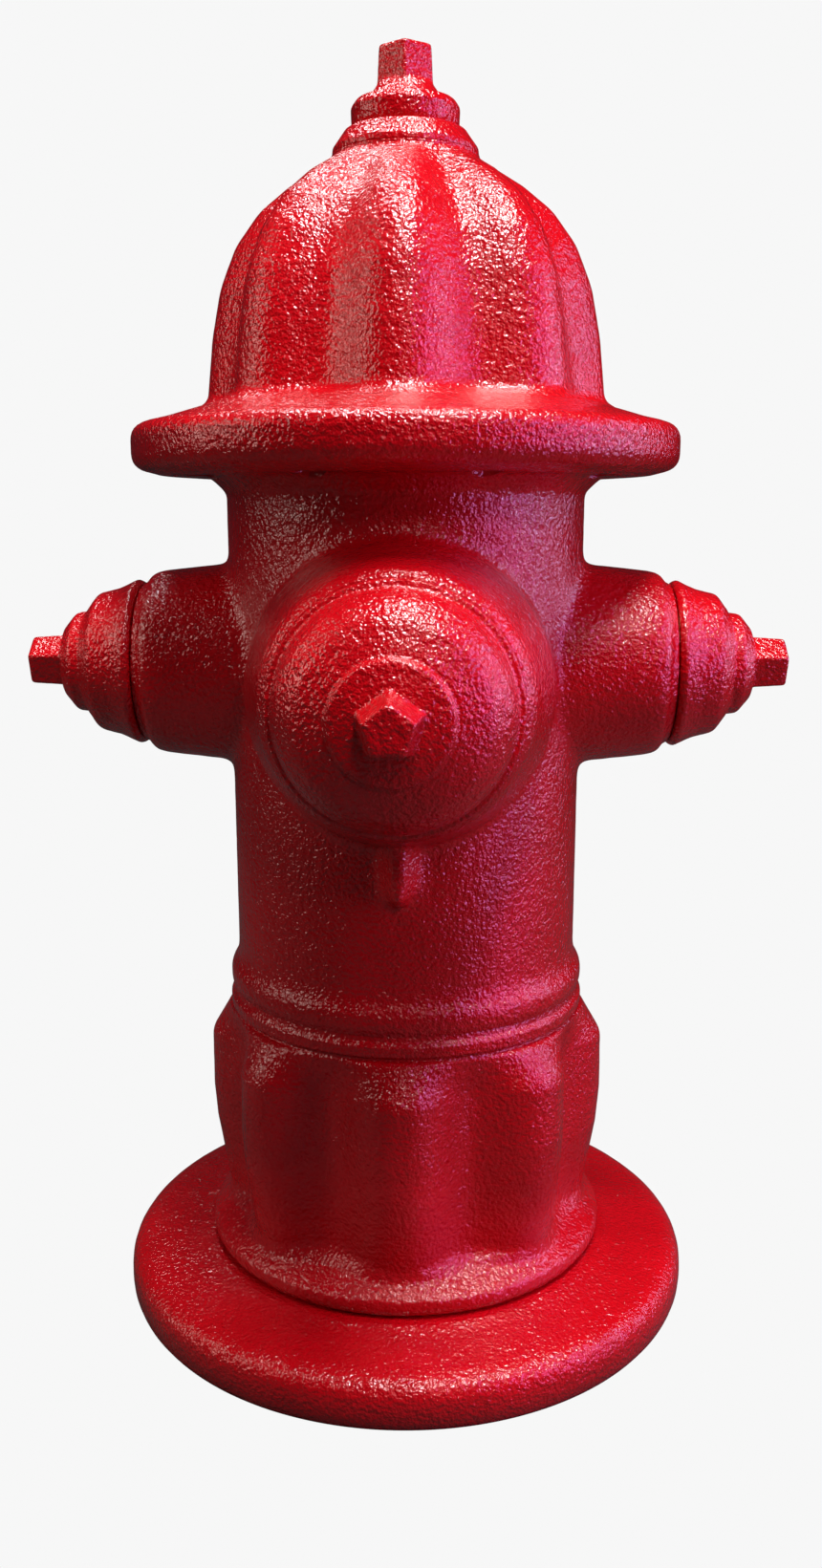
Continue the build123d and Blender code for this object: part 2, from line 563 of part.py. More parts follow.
# ---------------------------------------------------------------- operating nut and hold-down nut
SHAFT_R = 19.2
NUT_BARREL_R = 22.0
NUT_BARREL_BOTTOM = 640.0
THRUST_FLANGE_R = 30.0
SHAFT_O_RING_Z = 745.0
with BuildPart() as hold_down_nut:
    with BuildSketch(Plane.XZ):
        with BuildLine():
            Line((SHAFT_R + FREE, HOLD_DOWN_Z + FIT), (HOLD_DOWN_R - FIT, HOLD_DOWN_Z + FIT))
            Line((HOLD_DOWN_R - FIT, HOLD_DOWN_Z + FIT), (HOLD_DOWN_R - FIT, NECK_Z + FIT))
            Line((HOLD_DOWN_R - FIT, NECK_Z + FIT), (46.0, NECK_Z + FIT))
            Spline((46.0, NECK_Z + FIT), (42.6, 756.5), (36.5, COLLAR_Z - FREE))
            Line((36.5, COLLAR_Z - FREE), (SHAFT_R + FREE, COLLAR_Z - FREE))
            Line((SHAFT_R + FREE, COLLAR_Z - FREE), (SHAFT_R + FREE, HOLD_DOWN_Z + FIT))
        make_face()
        with Locations((SHAFT_R + 1.9, SHAFT_O_RING_Z)):
            Rectangle(3.6, 3.6, mode=Mode.SUBTRACT)
    revolve(axis=Axis.Z)
save(hold_down_nut.part, "hold_down_nut")

with BuildPart() as operating_nut_o_ring:
    with Locations((0, 0, SHAFT_O_RING_Z)):
        Torus(SHAFT_R + 1.95, 1.6)
save(operating_nut_o_ring.part, "operating_nut_o_ring")

THRUST_TOP_Z = 731.0
save(ring("thrust_washer", SHAFT_R + FREE, THRUST_FLANGE_R, THRUST_TOP_Z + FREE,
          HOLD_DOWN_Z - 0.1), "thrust_washer")

with BuildPart() as operating_nut:
    with BuildSketch(Plane.XZ):
        with BuildLine():
            Polyline(
                (0, NUT_BARREL_BOTTOM), (NUT_BARREL_R, NUT_BARREL_BOTTOM),
                (NUT_BARREL_R, THRUST_SEAT_Z + FREE), (THRUST_FLANGE_R, THRUST_SEAT_Z + FREE),
                (THRUST_FLANGE_R, THRUST_TOP_Z), (SHAFT_R, THRUST_TOP_Z), (SHAFT_R, COLLAR_Z),
                (32.5, COLLAR_Z),
            )
            Line((32.5, COLLAR_Z), (33.6, COLLAR_Z + 11))
            RadiusArc((33.6, COLLAR_Z + 11), (27.0, COLLAR_Z + 17.5), -6.6)
            Spline((27.0, COLLAR_Z + 17.5), (21.5, COLLAR_Z + 20.0), (17.0, COLLAR_Z + 25.0))
            Line((17.0, COLLAR_Z + 25.0), (0, COLLAR_Z + 25.0))
            Line((0, COLLAR_Z + 25.0), (0, NUT_BARREL_BOTTOM))
        make_face()
    revolve(axis=Axis.Z)
    with BuildSketch(Plane.XY.offset(COLLAR_Z + 12)):
        RegularPolygon(NUT_CORNER_R + 0.6, 5, rotation=-90)
    extrude(amount=TOP_Z - COLLAR_Z - 12, taper=NUT_TAPER)
    fillet(operating_nut.faces().sort_by(Axis.Z)[-1].edges(), 1.5)
    with BuildSketch(Plane.XY.offset(NUT_BARREL_BOTTOM)):
        Circle(STEM_R + FREE)
    extrude(amount=STEM_TOP_Z + 10 - NUT_BARREL_BOTTOM, mode=Mode.SUBTRACT)
save(operating_nut.part, "operating_nut")


# ---------------------------------------------------------------- hose nozzles and their caps
def o_ring(plane, distance, middle_r, wire_r):
    """O-ring about a nozzle plane's x axis."""
    with BuildPart() as seal:
        with BuildSketch(plane):
            with Locations((distance, middle_r)):
                Circle(wire_r)
        revolve(axis=axis_of(plane))
    return seal.part


def hose_nozzle(plane, side):
    """Insert, O-ring, gasket and cap of one hose nozzle."""
    collar_r, collar_end, groove = 50.0, 172.5, 150.0
    insert = turned(plane, [
        (102, HOSE_WATERWAY_R), (102, HOSE_INSERT_R - FIT), (groove - 2, HOSE_INSERT_R - FIT),
        (groove - 2, HOSE_INSERT_R - 3.8), (groove + 2, HOSE_INSERT_R - 3.8),
        (groove + 2, HOSE_INSERT_R - FIT), (HOSE_BOSS_END + FIT, HOSE_INSERT_R - FIT),
        (HOSE_BOSS_END + FIT, collar_r), (collar_end, collar_r), (collar_end, HOSE_THREAD_R),
        (HOSE_THREAD_END - 1, HOSE_THREAD_R), (HOSE_THREAD_END, HOSE_THREAD_R - 1),
        (HOSE_THREAD_END, HOSE_WATERWAY_R),
    ])
    save(insert, f"{side}_hose_nozzle")
    save(o_ring(plane, groove, HOSE_INSERT_R - 1.9, 1.8), f"{side}_hose_nozzle_o_ring")
    gasket_start, gasket_end = HOSE_THREAD_END + FREE, HOSE_THREAD_END + 4.3
    gasket = turned(plane, [(gasket_start, HOSE_WATERWAY_R + 0.2), (gasket_start, HOSE_THREAD_R - 0.4),
                            (gasket_end, HOSE_THREAD_R - 0.4), (gasket_end, HOSE_WATERWAY_R + 0.2)])
    save(gasket, f"{side}_hose_cap_gasket")
    inner_r, inner_end = HOSE_THREAD_R + 0.4, gasket_end + FREE
    with BuildPart() as cap:
        add(turned(plane, [
            (HOSE_CAP_START, inner_r), (HOSE_CAP_START, 53.5), (177, 54.8), (186, 50.3),
            (203, 45.5), (210, 35.6), (210.5, 33.0), (218.5, 32.0), (NUT_START, 22.0),
            (NUT_START, 0), (inner_end, 0),
            (inner_end, inner_r),
        ], rounds=[(1, 2.0), (2, 3.0), (4, 7.0), (7, 5.0)]))
        add(pentagon_nut(plane, NUT_START - 2, NOZZLE_TIP))
    save(cap.part, f"{side}_hose_cap")


hose_nozzle(HOSE_LEFT, "left")
hose_nozzle(HOSE_RIGHT, "right")

# ---------------------------------------------------------------- pumper nozzle and its cap
PUMPER_GROOVE = 145.0
PUMPER_COLLAR_END = 169.0
PUMPER_COLLAR_R = 71.0
GASKET_R = 59.6
save(turned(PUMPER, [
    (101, PUMPER_WATERWAY_R), (101, PUMPER_INSERT_R - FIT),
    (PUMPER_GROOVE - 2.2, PUMPER_INSERT_R - FIT), (PUMPER_GROOVE - 2.2, PUMPER_INSERT_R - 4.2),
    (PUMPER_GROOVE + 2.2, PUMPER_INSERT_R - 4.2), (PUMPER_GROOVE + 2.2, PUMPER_INSERT_R - FIT),
    (PUMPER_BOSS_END + FIT, PUMPER_INSERT_R - FIT), (PUMPER_BOSS_END + FIT, PUMPER_COLLAR_R),
    (PUMPER_COLLAR_END, PUMPER_COLLAR_R), (PUMPER_COLLAR_END, PUMPER_THREAD_R),
    (PUMPER_THREAD_END - 1, PUMPER_THREAD_R), (PUMPER_THREAD_END, PUMPER_THREAD_R - 1),
    (PUMPER_THREAD_END, PUMPER_WATERWAY_R),
]), "pumper_nozzle")
save(o_ring(PUMPER, PUMPER_GROOVE, PUMPER_INSERT_R - 2.1, 2.0), "pumper_nozzle_o_ring")
PUMPER_GASKET = (PUMPER_THREAD_END + FREE, PUMPER_THREAD_END + 4.3)
save(turned(PUMPER, [(PUMPER_GASKET[0], PUMPER_WATERWAY_R + 0.2), (PUMPER_GASKET[0], GASKET_R),
                     (PUMPER_GASKET[1], GASKET_R), (PUMPER_GASKET[1], PUMPER_WATERWAY_R + 0.2)]),
     "pumper_cap_gasket")
with BuildPart() as pumper_cap:
    with BuildSketch(PUMPER):
        with BuildLine():
            Polyline(
                (PUMPER_CAP_START, PUMPER_THREAD_R + 0.4), (PUMPER_CAP_START, 69.0), (173.0, 70.2),
                (177.0, 70.2), (180.0, 67.8), (186.0, 67.2),
            )
            Spline((186.0, 67.2), (199.0, 62.5), (210.0, 52.5), (218.0, 35.5))
            Polyline(
                (218.0, 35.5), (218.5, 33.5), (222.5, 33.0), (NUT_START, 30.0), (NUT_START, 0),
                (PUMPER_GASKET[1] + FREE, 0), (PUMPER_GASKET[1] + FREE, GASKET_R + 0.4),
                (PUMPER_THREAD_END + 0.2, GASKET_R + 0.4), (PUMPER_THREAD_END + 0.2, PUMPER_THREAD_R + 0.4),
                (PUMPER_CAP_START, PUMPER_THREAD_R + 0.4),
            )
        make_face()
    revolve(axis=axis_of(PUMPER))
    add(pentagon_nut(PUMPER, NUT_START - 2, NOZZLE_TIP))
save(pumper_cap.part, "pumper_cap")
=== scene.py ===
"""Looks of the fire hydrant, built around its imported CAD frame. Metres, +Z up, pumper nozzle along -Y.

The painted castings and caps are modelled here as soft, thickly painted forms that replace their CAD
nodes; the bronze, steel and rubber pieces stay CAD nodes and get better materials.
"""
import json
import math

import bmesh
import bpy
import numpy as np
from mathutils import Matrix, Vector


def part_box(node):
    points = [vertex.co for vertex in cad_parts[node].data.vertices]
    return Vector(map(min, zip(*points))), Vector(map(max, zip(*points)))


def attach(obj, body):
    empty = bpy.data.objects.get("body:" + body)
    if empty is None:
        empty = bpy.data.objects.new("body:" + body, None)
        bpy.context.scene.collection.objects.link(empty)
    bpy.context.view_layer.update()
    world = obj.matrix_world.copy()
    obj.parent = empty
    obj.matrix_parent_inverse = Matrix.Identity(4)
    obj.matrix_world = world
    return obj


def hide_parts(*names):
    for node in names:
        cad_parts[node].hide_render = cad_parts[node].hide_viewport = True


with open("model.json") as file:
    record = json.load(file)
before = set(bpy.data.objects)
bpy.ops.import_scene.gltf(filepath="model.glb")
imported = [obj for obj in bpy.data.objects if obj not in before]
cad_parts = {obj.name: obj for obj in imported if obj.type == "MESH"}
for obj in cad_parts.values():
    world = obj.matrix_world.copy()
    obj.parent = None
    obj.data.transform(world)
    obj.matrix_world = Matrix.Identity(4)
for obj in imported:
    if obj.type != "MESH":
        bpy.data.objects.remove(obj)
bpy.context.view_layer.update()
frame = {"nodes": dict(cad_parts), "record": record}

MM = 0.001
RIDGES = 8
TURN = 2 * math.pi
# sizes of the hydrant, in millimetres as in every outline below
HOSE_Z = sum(corner[2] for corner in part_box("right_hose_nozzle")) / 2 / MM
PUMPER_Z = sum(corner[2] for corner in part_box("pumper_nozzle")) / 2 / MM
TOP_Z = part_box("operating_nut")[1][2] / MM
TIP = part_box("right_hose_cap")[1][0] / MM          # end of a cap's nut, from the hydrant's axis
FLANGE_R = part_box("base_flange")[1][0] / MM
BRIM_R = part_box("bonnet")[1][0] / MM
BORE_R = 98                                        # inside of both barrels
JOINT_R = 113.4                                    # step at the joint between the barrels
INSERT_R = 50.1                                    # hole in a side boss for its bronze nozzle
DRAIN_R, DRAIN_Z = 8.05, 112                       # drain hole in the back of the skirt
BASE_BOLTS_R, BONNET_BOLTS_R = 104, 133.5          # bolt circles
PALE = (0.93, 0.93, 0.93, 1)                       # floor and surroundings as the camera sees them


# ------------------------------------------------------------------ profiles and turned forms
def rounded(points, step=2.0, counts=None):
    """Samples a closed outline of (radius, height, corner radius) points, in millimetres.

    Returns the samples and how many lie on each straight stretch, so that a second outline with as
    many points can be sampled to match the first.
    """
    corners = [np.array(p[:2], float) for p in points]
    number = len(corners)
    cuts = []
    for k, (_, _, radius) in enumerate(points):
        here = corners[k]
        before = corners[k - 1] - here
        after = corners[(k + 1) % number] - here
        la, lb = np.linalg.norm(before), np.linalg.norm(after)
        half = math.acos(np.clip(before @ after / (la * lb), -1, 1)) / 2
        cut = min(radius / max(math.tan(half), 1e-6), 0.49 * la, 0.49 * lb)
        cuts.append((here + before / la * cut, here, here + after / lb * cut))
    lengths = [np.linalg.norm(cuts[(k + 1) % number][0] - cuts[k][2]) for k in range(number)]
    counts = counts or [max(1, round(length / step)) for length in lengths]
    samples = []
    for k in range(number):
        start, middle, end = cuts[k]
        if points[k][2] > 0:
            for t in np.linspace(0, 1, 7)[:-1]:
                samples.append((1 - t) ** 2 * start + 2 * t * (1 - t) * middle + t * t * end)
        following = cuts[(k + 1) % number][0]
        for t in np.linspace(0, 1, counts[k] + 1)[:-1]:
            samples.append(end + t * (following - end))
    return np.array(samples), counts


def turned(name, outline, valley=None, mix=None, segments=256):
    """Closed form turned about Z. Where valley is given, mix(angle) blends outline into valley."""
    ring, counts = rounded(outline)
    low = rounded(valley, counts=counts)[0] if valley else ring
    angles = np.arange(segments) * TURN / segments
    share = mix(angles)[:, None] if mix else np.zeros((segments, 1))
    radius = ring[None, :, 0] * (1 - share) + low[None, :, 0] * share
    height = ring[None, :, 1] * (1 - share) + low[None, :, 1] * share
    points = np.stack([radius * np.cos(angles)[:, None], radius * np.sin(angles)[:, None], height], -1)
    number = len(ring)
    k, j = np.meshgrid(np.arange(segments), np.arange(number), indexing="ij")
    kn, jn = (k + 1) % segments, (j + 1) % number
    faces = np.stack([k * number + j, kn * number + j, kn * number + jn, k * number + jn], -1)
    mesh = bpy.data.meshes.new(name)
    mesh.from_pydata((points.reshape(-1, 3) * MM).tolist(), [], faces.reshape(-1, 4).tolist())
    piece = bpy.data.objects.new(name, mesh)
    bpy.context.collection.objects.link(piece)
    clean(piece)
    return piece


def clean(piece):
    """Welds doubled points, drops empty faces, turns the faces outward and shades them smooth."""
    work = bmesh.new()
    work.from_mesh(piece.data)
    bmesh.ops.remove_doubles(work, verts=work.verts, dist=1e-6)
    bmesh.ops.dissolve_degenerate(work, edges=work.edges, dist=1e-7)
    bmesh.ops.recalc_face_normals(work, faces=work.faces)
    for face in work.faces:
        face.smooth = True
    work.to_mesh(piece.data)
    work.free()


def apply(piece, kind, **settings):
    """Adds one modifier, applies it to the mesh and removes it."""
    modifier = piece.modifiers.new(kind, kind)
    for key, value in settings.items():
        setattr(modifier, key, value)
    bpy.context.view_layer.update()
    graph = bpy.context.evaluated_depsgraph_get()
    mesh = bpy.data.meshes.new_from_object(piece.evaluated_get(graph))
    piece.modifiers.clear()
    old = piece.data
    piece.data = mesh
    bpy.data.meshes.remove(old)


def cut(piece, *tools):
    """Subtracts the tools from the piece and deletes them."""
    for tool in tools:
        apply(piece, "BOOLEAN", operation="DIFFERENCE", solver="MANIFOLD", object=tool)
        bpy.data.objects.remove(tool)
    smooth_by_angle(piece)


def smooth_by_angle(piece, degrees=35.0):
    """Smooth shading, with sharp edges only where faces meet at more than the angle."""
    work = bmesh.new()
    work.from_mesh(piece.data)
    for face in work.faces:
        face.smooth = True
    for edge in work.edges:
        edge.smooth = not (len(edge.link_faces) == 2 and edge.calc_face_angle(0) > math.radians(degrees))
    work.to_mesh(piece.data)
    work.free()


def merge(piece, other):
    """Joins another closed mesh into a piece without fusing the two."""
    work = bmesh.new()
    work.from_mesh(piece.data)
    work.from_mesh(other.data)
    work.to_mesh(piece.data)
    work.free()
    bpy.data.objects.remove(other)


def drill_back(radius, start, end, height, segments=32):
    """Drilling tool, in millimetres, along +Y from start to end at a height."""
    work = bmesh.new()
    bmesh.ops.create_cone(work, cap_ends=True, segments=segments, radius1=radius * MM,
                          radius2=radius * MM, depth=(end - start) * MM)
    mesh = bpy.data.meshes.new("drill")
    work.to_mesh(mesh)
    work.free()
    tool = bpy.data.objects.new("drill", mesh)
    bpy.context.collection.objects.link(tool)
    middle = Matrix.Translation((0, (start + end) / 2 * MM, height * MM))
    mesh.transform(middle @ Matrix.Rotation(math.radians(-90), 4, "X"))
    return tool


# ------------------------------------------------------------------ cast surface
def lattice_noise(points, size, seed):
    """Smooth repeatable noise from -1 to 1 at the points, with features of about the given size."""
    table = np.random.default_rng(seed).uniform(-1, 1, (64, 64, 64))
    spot = points / size
    base = np.floor(spot).astype(int)
    part = spot - base
    part = part * part * (3 - 2 * part)
    total = np.zeros(len(points))
    for corner in np.ndindex(2, 2, 2):
        weight = np.prod(np.where(corner, part, 1 - part), axis=1)
        index = (base + corner) % 64
        total += weight * table[index[:, 0], index[:, 1], index[:, 2]]
    return total


def smooth_step(value, low, high):
    """0 below low, 1 above high, and smooth between them."""
    t = np.clip((value - low) / (high - low), 0, 1)
    return t * t * (3 - 2 * t)


def skin(above=math.inf, beyond=math.inf):
    """Weight function: 1 above a height or beyond a radius, in millimetres, and 0 elsewhere."""
    return lambda p: ((p[:, 2] > above) | (np.hypot(p[:, 0], p[:, 1]) > beyond)).astype(float)


def pebble(piece, height=0.13, where=None):
    """Roughens a casting's skin along its normals, outward and inward, by about the height in mm."""
    mesh = piece.data
    number = len(mesh.vertices)
    points = np.empty(number * 3)
    mesh.vertices.foreach_get("co", points)
    points = points.reshape(-1, 3)
    normals = np.empty(number * 3)
    mesh.vertex_normals.foreach_get("vector", normals)
    normals = normals.reshape(-1, 3)
    bumps = (0.55 * lattice_noise(points, 0.0065, 1) + 0.30 * lattice_noise(points, 0.0038, 2)
             + 0.50 * lattice_noise(points, 0.021, 3)) - 0.45
    share = np.ones(number) if where is None else where(points / MM)
    points += normals * (bumps * height * MM * share)[:, None]
    mesh.vertices.foreach_set("co", points.ravel())
    mesh.update()


def ridge_mix(angles, power=2.3):
    """0 on each ridge and 1 in the middle of each flute; a higher power gives broader ridges."""
    return np.abs(np.sin(angles * RIDGES / 2)) ** power


def pentagon(angles, corner, point_at, softness):
    """Radius of a five-sided nut with rounded corners at the angles."""
    sector = TURN / 5
    offset = (angles - point_at + sector / 2) % sector - sector / 2
    flat = corner * math.cos(sector / 2)
    sharp = flat / np.cos(sector / 2 - np.abs(offset))
    return np.minimum(sharp, corner - softness * (1 - (np.abs(offset) / 0.09).clip(0, 1) ** 2) * 0.5)


def add_nut(piece, start, end, corner, flare=0.04, segments=160):
    """Joins a tapered pentagon nut, from start to end along Z, to a turned piece."""
    front = 1 - flare
    levels = [(start, 1 + flare), (start + 2, 1 + flare), (end - 3.2, front), (end - 1.8, front - 0.01),
              (end - 0.7, front - 0.05), (end - 0.15, front - 0.15),
              (end, 0.62), (end, 0.30), (end, 0.0)]
    levels = [(start, 0.0), *levels]
    angles = np.arange(segments) * TURN / segments
    shape = pentagon(angles, corner, math.radians(-90), 0.9)
    points, faces = [], []
    for height, scale in levels:
        blend = 1.0 if scale > 0.7 else scale / 0.7
        radius = scale * (shape * blend + corner * 0.85 * (1 - blend))
        points += [(r * math.cos(a) * MM, r * math.sin(a) * MM, height * MM)
                   for r, a in zip(radius, angles)]
    for level in range(len(levels) - 1):
        for k in range(segments):
            n = (k + 1) % segments
            faces.append((level * segments + k, level * segments + n,
                          (level + 1) * segments + n, (level + 1) * segments + k))
    mesh = bpy.data.meshes.new("nut")
    mesh.from_pydata(points, [], faces)
    nut = bpy.data.objects.new("nut", mesh)
    bpy.context.collection.objects.link(nut)
    clean(nut)
    apply(piece, "BOOLEAN", operation="UNION", solver="MANIFOLD", object=nut)
    bpy.data.objects.remove(nut)


def soften(piece, voxel, rounds, share=None):
    """Remeshes a piece evenly and rounds its edges; share gives each point's weight."""
    if voxel:
        apply(piece, "REMESH", mode="VOXEL", voxel_size=voxel * MM, adaptivity=0.0)
    group = ""
    if share is not None:
        points = np.empty(len(piece.data.vertices) * 3)
        piece.data.vertices.foreach_get("co", points)
        weights = share(points.reshape(-1, 3) / MM)
        group = "soft"
        piece.vertex_groups.clear()
        marked = piece.vertex_groups.new(name=group)
        for level in range(1, 11):
            chosen = np.nonzero(np.round(weights * 10) == level)[0]
            marked.add(chosen.tolist(), level / 10, "REPLACE")
    apply(piece, "SMOOTH", factor=0.5, iterations=rounds, vertex_group=group)
    piece.vertex_groups.clear()


def lay_along(piece, direction, height):
    """Turns a piece made about Z to point along a nozzle's direction, at the nozzle's height."""
    out = Vector(direction)
    up = Vector((0, 0, 1))
    side = up.cross(out)
    # a nut's point, at -Y while the piece stands along Z, goes to the top
    basis = Matrix((side, -up, out)).transposed().to_4x4()
    piece.data.transform(Matrix.Translation((0, 0, height * MM)) @ basis)


# ------------------------------------------------------------------ materials
def material(name, colour, roughness, metallic=0.0):
    """New node material; returns it with its nodes, its links and its main shader."""
    made = bpy.data.materials.new(name)
    made.use_nodes = True
    nodes, links = made.node_tree.nodes, made.node_tree.links
    shader = nodes["Principled BSDF"]
    shader.inputs["Base Color"].default_value = (*colour, 1)
    shader.inputs["Roughness"].default_value = roughness
    shader.inputs["Metallic"].default_value = metallic
    return made, nodes, links, shader


def noise(nodes, links, scale, detail=2.0, roughness=0.5, stretch=(1, 1, 1)):
    """Noise over the object's own coordinates, in features per metre."""
    place = nodes.new("ShaderNodeTexCoord")
    spread = nodes.new("ShaderNodeMapping")
    spread.inputs["Scale"].default_value = stretch
    grain = nodes.new("ShaderNodeTexNoise")
    grain.inputs["Scale"].default_value = scale
    grain.inputs["Detail"].default_value = detail
    grain.inputs["Roughness"].default_value = roughness
    links.new(place.outputs["Object"], spread.inputs["Vector"])
    links.new(spread.outputs["Vector"], grain.inputs["Vector"])
    return grain.outputs["Fac"]


def ramp(nodes, links, source, stops):
    """Colour ramp over a source, from (position, colour) stops."""
    node = nodes.new("ShaderNodeValToRGB")
    elements = node.color_ramp.elements
    elements[0].position, elements[1].position = stops[0][0], stops[-1][0]
    for _ in stops[1:-1]:
        elements.new(0.5)
    for element, (position, colour) in zip(elements, stops):
        element.position = position
        element.color = (*colour, 1)
    links.new(source, node.inputs["Fac"])
    return node.outputs["Color"]


def spread_value(nodes, links, source, low, high, start=0.3, end=0.7):
    """Maps a source's start..end onto low..high."""
    node = nodes.new("ShaderNodeMapRange")
    node.inputs["From Min"].default_value = start
    node.inputs["From Max"].default_value = end
    node.inputs["To Min"].default_value = low
    node.inputs["To Max"].default_value = high
    links.new(source, node.inputs["Value"])
    return node.outputs["Result"]


def bump(nodes, links, source, distance, strength=1.0, below=None):
    """Bump of a height source, laid over another bump if one is given."""
    node = nodes.new("ShaderNodeBump")
    node.inputs["Strength"].default_value = strength
    node.inputs["Distance"].default_value = distance
    links.new(source, node.inputs["Height"])
    if below is not None:
        links.new(below, node.inputs["Normal"])
    return node.outputs["Normal"]


def red_paint():
    """Thick gloss enamel over a pebbled casting: fine soft dimples that break up the highlights."""
    made, nodes, links, shader = material("red_enamel", (0.50, 0.002, 0.008), 0.20)
    shader.inputs["Coat Weight"].default_value = 0.5
    shader.inputs["Coat Roughness"].default_value = 0.04
    shader.inputs["Specular IOR Level"].default_value = 0.5
    patches = noise(nodes, links, 14.0, 3.0)
    links.new(ramp(nodes, links, patches, [(0.32, (0.50, 0.001, 0.005)), (0.52, (0.58, 0.002, 0.007)),
                                           (0.70, (0.66, 0.003, 0.009))]), shader.inputs["Base Color"])
    wear = noise(nodes, links, 60.0, 3.0)
    links.new(spread_value(nodes, links, wear, 0.13, 0.22), shader.inputs["Roughness"])
    swell = bump(nodes, links, noise(nodes, links, 170.0, 1.0), 0.0008)
    dimples = bump(nodes, links, noise(nodes, links, 430.0, 1.5, 0.5), 0.0013, below=swell)
    links.new(dimples, shader.inputs["Normal"])
    links.new(dimples, shader.inputs["Coat Normal"])
    return made


def bronze():
    """Turned bronze with a fine lathe grain and brown patches."""
    made, nodes, links, shader = material("bronze_turned", (0.50, 0.30, 0.12), 0.34, 1.0)
    tarnish = noise(nodes, links, 45.0, 4.0)
    links.new(ramp(nodes, links, tarnish, [(0.35, (0.30, 0.165, 0.065)), (0.55, (0.52, 0.31, 0.13)),
                                           (0.72, (0.66, 0.43, 0.20))]), shader.inputs["Base Color"])
    links.new(spread_value(nodes, links, noise(nodes, links, 120.0, 3.0), 0.24, 0.46),
              shader.inputs["Roughness"])
    links.new(bump(nodes, links, noise(nodes, links, 900.0, 2.0), 0.0002), shader.inputs["Normal"])
    return made


def steel(name, colour, low, high, grain):
    """Machined or plated steel."""
    made, nodes, links, shader = material(name, colour, low, 1.0)
    tint = noise(nodes, links, 70.0, 3.0)
    dark = tuple(c * 0.72 for c in colour)
    links.new(ramp(nodes, links, tint, [(0.35, dark), (0.65, colour)]), shader.inputs["Base Color"])
    streaks = noise(nodes, links, grain, 3.0, stretch=(1, 1, 6))
    links.new(spread_value(nodes, links, streaks, low, high), shader.inputs["Roughness"])
    links.new(bump(nodes, links, streaks, 0.00015), shader.inputs["Normal"])
    return made


def rubber():
    """Matt moulded rubber with a dusty bloom."""
    made, nodes, links, shader = material("black_rubber", (0.018, 0.018, 0.019), 0.7)
    bloom = noise(nodes, links, 90.0, 4.0)
    links.new(ramp(nodes, links, bloom, [(0.35, (0.012, 0.012, 0.013)), (0.7, (0.040, 0.039, 0.037))]),
              shader.inputs["Base Color"])
    links.new(spread_value(nodes, links, bloom, 0.58, 0.82), shader.inputs["Roughness"])
    links.new(bump(nodes, links, noise(nodes, links, 1200.0, 2.0), 0.00012), shader.inputs["Normal"])
    return made


def bare_iron():
    """Bitumen-coated grey iron."""
    made, nodes, links, shader = material("coated_iron", (0.05, 0.047, 0.045), 0.5, 0.2)
    coat = noise(nodes, links, 55.0, 4.0)
    links.new(ramp(nodes, links, coat, [(0.35, (0.025, 0.024, 0.024)), (0.6, (0.06, 0.056, 0.053)),
                                        (0.78, (0.14, 0.075, 0.045))]), shader.inputs["Base Color"])
    links.new(spread_value(nodes, links, coat, 0.35, 0.65), shader.inputs["Roughness"])
    links.new(bump(nodes, links, noise(nodes, links, 400.0, 3.0), 0.0006), shader.inputs["Normal"])
    return made


RED = red_paint()
FINISHES = {
    "red_paint": RED,
    "bronze": bronze(),
    "stem_steel": steel("stem_steel", (0.46, 0.455, 0.44), 0.22, 0.38, 160.0),
    "bolt_steel": steel("plated_steel", (0.50, 0.49, 0.45), 0.30, 0.48, 260.0),
    "gasket_rubber": rubber(),
    "valve_rubber": rubber(),
    "cast_iron": bare_iron(),
}


def finish_nodes():
    """Gives every CAD node that stays in view its procedural material."""
    for part in frame["record"]["subparts"]:
        node = frame["nodes"][part["node"]]
        for place in node.material_slots:
            place.material = FINISHES[part["material_slot"]]


def place(piece, body, node):
    """Paints a piece red, puts it on its body and hides the CAD node it stands for."""
    piece.data.materials.clear()
    piece.data.materials.append(RED)
    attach(piece, body)
    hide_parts(node)


# ------------------------------------------------------------------ the painted castings
def bolt_holes(circle_r, mouth, shoulder, end):
    """One tool for a ring of counterbored holes, wide from the mouth's height to the shoulder's."""
    tools = turned("holes", [(0, mouth, 0), (10.5, mouth, 0), (10.5, shoulder, 0), (6.6, shoulder, 0),
                             (6.6, end, 0), (0, end, 0)], segments=40)
    tools.data.transform(Matrix.Translation((circle_r * MM, 0, 0)))
    tools.data.transform(Matrix.Rotation(TURN / RIDGES / 2, 4, "Z"))
    one = tools.data.copy()
    for k in range(1, RIDGES):
        more = bpy.data.objects.new("hole", one.copy())
        more.data.transform(Matrix.Rotation(k * TURN / RIDGES, 4, "Z"))
        merge(tools, more)
    return tools


def make_base_flange():
    """Round ground flange: half-round rim, gently domed top, counterbored bolt holes underneath."""
    rim = 16.5
    flange = turned("painted_base_flange", [
        (76.2, 0, 0.6), (FLANGE_R, 0, rim * 0.9), (FLANGE_R, 33.5, rim * 0.95), (150, 38.0, 40),
        (141, 40, 3), (76.2, 40, 0.6),
    ])
    pebble(flange, where=lambda p: smooth_step(p[:, 2], 3, 9) * (np.hypot(p[:, 0], p[:, 1]) > 100))
    cut(flange, bolt_holes(BASE_BOLTS_R, -1, 10, 42))
    place(flange, "hydrant", "base_flange")


